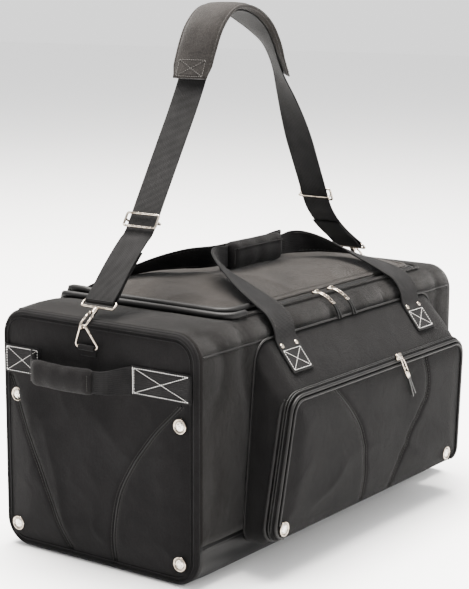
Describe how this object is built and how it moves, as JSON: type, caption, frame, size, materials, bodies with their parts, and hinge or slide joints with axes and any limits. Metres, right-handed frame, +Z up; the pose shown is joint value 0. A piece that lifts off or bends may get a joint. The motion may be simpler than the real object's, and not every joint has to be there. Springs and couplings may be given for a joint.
{
  "type": "hockey equipment bag",
  "caption": "Boxy padded duffel for ice hockey equipment: zipped domed lid, zipped front pocket, carry handles with a wrap, end grips and a hooked shoulder strap.",
  "frame": {"origin": "on the floor under the middle of the main body", "axes": "+Z up, +X along the bag to its right end, -Y towards the front pocket"},
  "size_m": [0.753, 0.4243, 0.7737],
  "materials": {
    "body_cloth": "matte woven polyester, charcoal",
    "end_cloth": "matte woven polyester, black",
    "pocket_cloth": "matte woven polyester, black",
    "lid_cloth": "matte woven polyester, warm charcoal",
    "tarpaulin": "coated cloth, satin black",
    "zip_tape": "knitted zip tape and coil, black",
    "webbing": "ribbed webbing, black",
    "pad_cloth": "woven polyester over foam, warm charcoal",
    "grip_padding": "padded cloth wrap, black",
    "board": "plain",
    "nickel": "polished nickel plate",
    "zip_pull": "polished nickel plate with a moulded black tab",
    "thread": "light grey sewing thread"
  },
  "bodies": {
    "bag": {"bottom_panel": "tarpaulin", "front_panel": "body_cloth", "back_panel": "body_cloth", "front_top_panel": "body_cloth", "back_top_panel": "body_cloth", "left_top_panel": "body_cloth", "right_top_panel": "body_cloth", "left_end_panel": "end_cloth", "right_end_panel": "end_cloth", "left_piping": "tarpaulin", "right_piping": "tarpaulin", "base_board": "board", "lid_zip_tape": "zip_tape", "lid_rear": "lid_cloth", "left_vent_front_low": "nickel", "left_vent_front_high": "nickel", "left_vent_back_low": "nickel", "left_vent_back_high": "nickel", "right_vent_front_low": "nickel", "right_vent_front_high": "nickel", "right_vent_back_low": "nickel", "right_vent_back_high": "nickel", "pocket_gusset": "pocket_cloth", "front_anchor_left": "webbing", "front_anchor_right": "webbing", "back_anchor_left": "webbing", "back_anchor_right": "webbing", "left_grip_band": "webbing", "right_grip_band": "webbing", "left_ring_tab": "tarpaulin", "right_ring_tab": "tarpaulin"},
    "lid_flap": {"lid_flap": "lid_cloth"},
    "front_handle": {"front_handle": "webbing", "handle_wrap": "grip_padding"},
    "back_handle": {"back_handle": "webbing"},
    "pocket_flap": {"pocket_flap": "pocket_cloth", "pocket_vent_left": "nickel", "pocket_vent_right": "nickel"},
    "pocket_slider": {"pocket_slider": "nickel"},
    "pocket_pull": {"pocket_pull": "zip_pull"},
    "lid_slider_left": {"lid_slider_left": "nickel"},
    "lid_slider_right": {"lid_slider_right": "nickel"},
    "lid_pull_left": {"lid_pull_left": "zip_pull"},
    "lid_pull_right": {"lid_pull_right": "zip_pull"},
    "left_grip": {"left_grip_webbing": "webbing", "left_grip_wrap": "grip_padding"},
    "right_grip": {"right_grip_webbing": "webbing", "right_grip_wrap": "grip_padding"},
    "left_ring": {"left_ring": "nickel"},
    "right_ring": {"right_ring": "nickel"},
    "strap": {"strap_webbing": "webbing", "shoulder_pad": "pad_cloth", "left_eye": "nickel", "right_eye": "nickel"},
    "adjuster_left": {"adjuster_left": "nickel"},
    "adjuster_right": {"adjuster_right": "nickel"},
    "left_hook": {"left_hook": "nickel"},
    "right_hook": {"right_hook": "nickel"},
    "left_gate": {"left_gate": "nickel"},
    "right_gate": {"right_gate": "nickel"}
  },
  "joints": [
    {"name": "lid_lift", "type": "hinge", "parent": "bag", "child": "lid_flap", "pos_m": [0, -0.0255, 0.3785], "axis": [-1, 0, 0], "range_deg": [0, 80]},
    {"name": "front_handle_swing", "type": "hinge", "parent": "bag", "child": "front_handle", "pos_m": [0, -0.1825, 0.3152], "axis": [1, 0, 0], "range_deg": [0, 124]},
    {"name": "back_handle_swing", "type": "hinge", "parent": "bag", "child": "back_handle", "pos_m": [0, 0.1785, 0.3152], "axis": [-1, 0, 0], "range_deg": [0, 124]},
    {"name": "pocket_open", "type": "hinge", "parent": "bag", "child": "pocket_flap", "pos_m": [0, -0.2372, 0.0545], "axis": [1, 0, 0], "range_deg": [0, 80]},
    {"name": "pocket_zip", "type": "slide", "parent": "pocket_flap", "child": "pocket_slider", "axis": [1, 0, 0], "range_m": [-0.22, 0.15]},
    {"name": "pocket_pull_swing", "type": "hinge", "parent": "pocket_slider", "child": "pocket_pull", "pos_m": [0.0665, -0.2446, 0.2545], "axis": [-1, 0, 0], "range_deg": [0, 100]},
    {"name": "lid_zip_left", "type": "slide", "parent": "bag", "child": "lid_slider_left", "axis": [-1, 0, 0], "range_m": [0, 0.095]},
    {"name": "lid_zip_right", "type": "slide", "parent": "bag", "child": "lid_slider_right", "axis": [1, 0, 0], "range_m": [0, 0.115]},
    {"name": "lid_pull_left_swing", "type": "hinge", "parent": "lid_slider_left", "child": "lid_pull_left", "pos_m": [-0.01, -0.1483, 0.3532], "axis": [-1, 0, 0], "range_deg": [0, 100]},
    {"name": "lid_pull_right_swing", "type": "hinge", "parent": "lid_slider_right", "child": "lid_pull_right", "pos_m": [0.03, -0.1483, 0.3532], "axis": [-1, 0, 0], "range_deg": [0, 100]},
    {"name": "left_grip_tilt", "type": "hinge", "parent": "bag", "child": "left_grip", "pos_m": [-0.3538, 0.028, 0.2745], "axis": [0, 1, 0], "range_deg": [-20, 30]},
    {"name": "right_grip_tilt", "type": "hinge", "parent": "bag", "child": "right_grip", "pos_m": [0.3538, 0.028, 0.2745], "axis": [0, -1, 0], "range_deg": [-20, 30]},
    {"name": "strap_swing", "type": "hinge", "parent": "bag", "child": "strap", "pos_m": [0, 0.01, 0.34443], "axis": [-1, 0, 0], "range_deg": [-20, 15]},
    {"name": "left_ring_tilt", "type": "hinge", "parent": "bag", "child": "left_ring", "pos_m": [-0.3515, 0.01, 0.31136], "axis": [0, 1, 0], "range_deg": [-1.5, 3.5]},
    {"name": "right_ring_tilt", "type": "hinge", "parent": "bag", "child": "right_ring", "pos_m": [0.3515, 0.01, 0.31136], "axis": [0, -1, 0], "range_deg": [-1.5, 3.5]},
    {"name": "left_hook_swivel", "type": "hinge", "parent": "strap", "child": "left_hook", "pos_m": [-0.3314, 0.01, 0.363], "axis": [-0.788, 0, -0.6157], "range_deg": [-15, 15]},
    {"name": "left_gate_press", "type": "hinge", "parent": "left_hook", "child": "left_gate", "pos_m": [-0.3486, 0.01, 0.3587], "axis": [0, -1, 0], "range_deg": [0, 22], "stiffness_Nm_per_rad": 0.02},
    {"name": "right_hook_swivel", "type": "hinge", "parent": "strap", "child": "right_hook", "pos_m": [0.3314, 0.01, 0.363], "axis": [0.788, 0, -0.6157], "range_deg": [-15, 15]},
    {"name": "right_gate_press", "type": "hinge", "parent": "right_hook", "child": "right_gate", "pos_m": [0.3486, 0.01, 0.3587], "axis": [0, 1, 0], "range_deg": [0, 22], "stiffness_Nm_per_rad": 0.02},
    {"name": "adjuster_left_slide", "type": "slide", "parent": "strap", "child": "adjuster_left", "axis": [0.5191, 0, 0.8547], "range_m": [0, 0.06]},
    {"name": "adjuster_right_slide", "type": "slide", "parent": "strap", "child": "adjuster_right", "axis": [-0.4583, 0, 0.8888], "range_m": [0, 0.06]}
  ],
  "couplings": [
    {"joint": "front_handle_swing", "follows": "lid_lift", "ratio": 1.55},
    {"joint": "back_handle_swing", "follows": "lid_lift", "ratio": 1.55}
  ]
}
